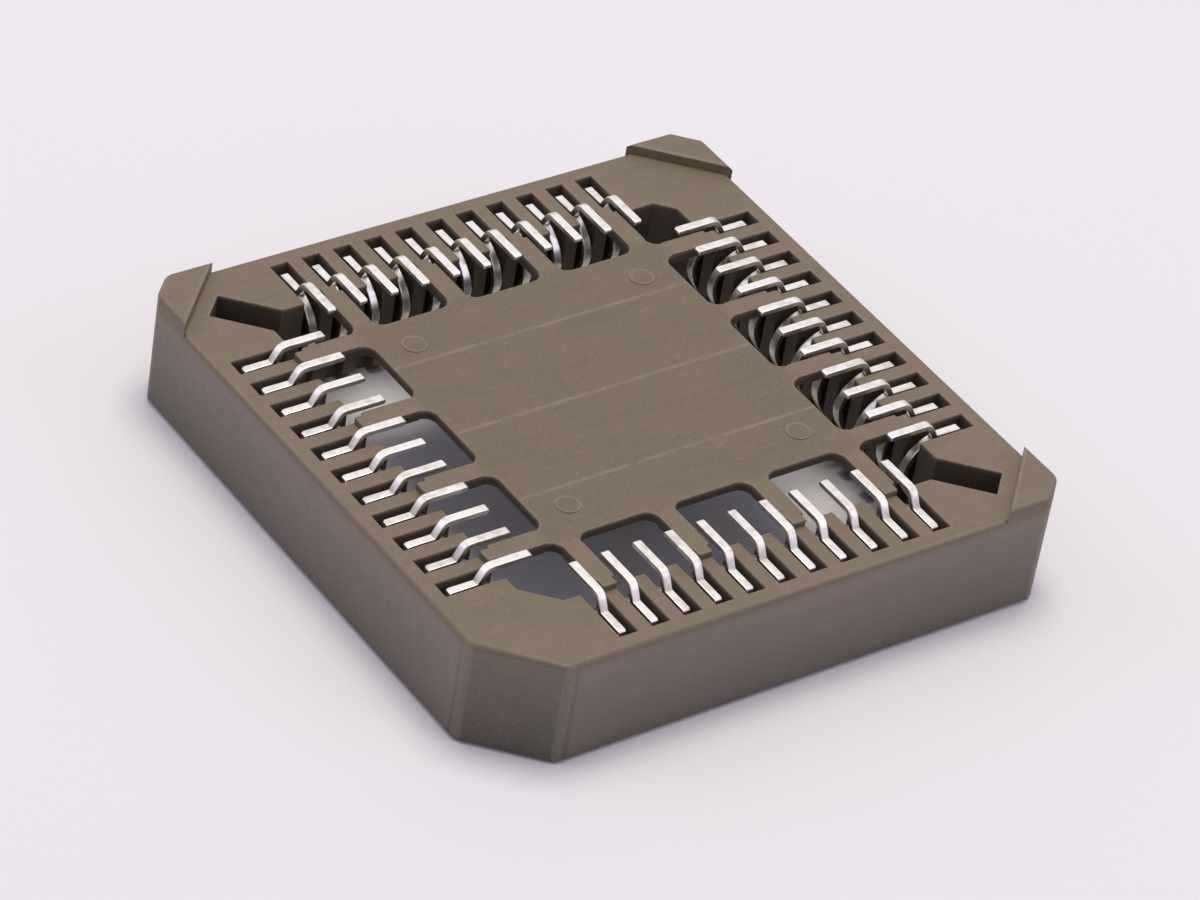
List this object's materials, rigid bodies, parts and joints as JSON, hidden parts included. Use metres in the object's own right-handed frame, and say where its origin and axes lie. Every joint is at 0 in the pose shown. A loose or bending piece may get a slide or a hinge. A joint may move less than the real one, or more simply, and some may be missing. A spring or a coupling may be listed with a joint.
{
  "type": "chip carrier socket",
  "caption": "Square surface-mount socket for a leaded chip carrier: a moulded frame with a windowed floor, corner feet and extraction slots, ringed by blanked spring contacts.",
  "frame": {"origin": "centre of the rim plane, on the chip side that the socket lies on", "axes": "+Z towards the board side with the solder tails, X and Y along the walls, index corner with the large corner cut at -X -Y"},
  "size_m": [0.0228, 0.0228, 0.0046],
  "materials": {
    "housing": "matte natural brown glass-filled moulding",
    "contact": "satin tin plate over phosphor bronze"
  },
  "bodies": {
    "root": {"housing": "housing", "contact_01": "contact", "contact_02": "contact", "contact_03": "contact", "contact_04": "contact", "contact_05": "contact", "contact_06": "contact", "contact_07": "contact", "contact_08": "contact", "contact_09": "contact", "contact_10": "contact", "contact_11": "contact", "contact_12": "contact", "contact_13": "contact", "contact_14": "contact", "contact_15": "contact", "contact_16": "contact", "contact_17": "contact", "contact_18": "contact", "contact_19": "contact", "contact_20": "contact", "contact_21": "contact", "contact_22": "contact", "contact_23": "contact", "contact_24": "contact", "contact_25": "contact", "contact_26": "contact", "contact_27": "contact", "contact_28": "contact", "contact_29": "contact", "contact_30": "contact", "contact_31": "contact", "contact_32": "contact", "contact_33": "contact", "contact_34": "contact", "contact_35": "contact", "contact_36": "contact", "contact_37": "contact", "contact_38": "contact", "contact_39": "contact", "contact_40": "contact", "contact_41": "contact", "contact_42": "contact", "contact_43": "contact", "contact_44": "contact"}
  },
  "joints": []
}
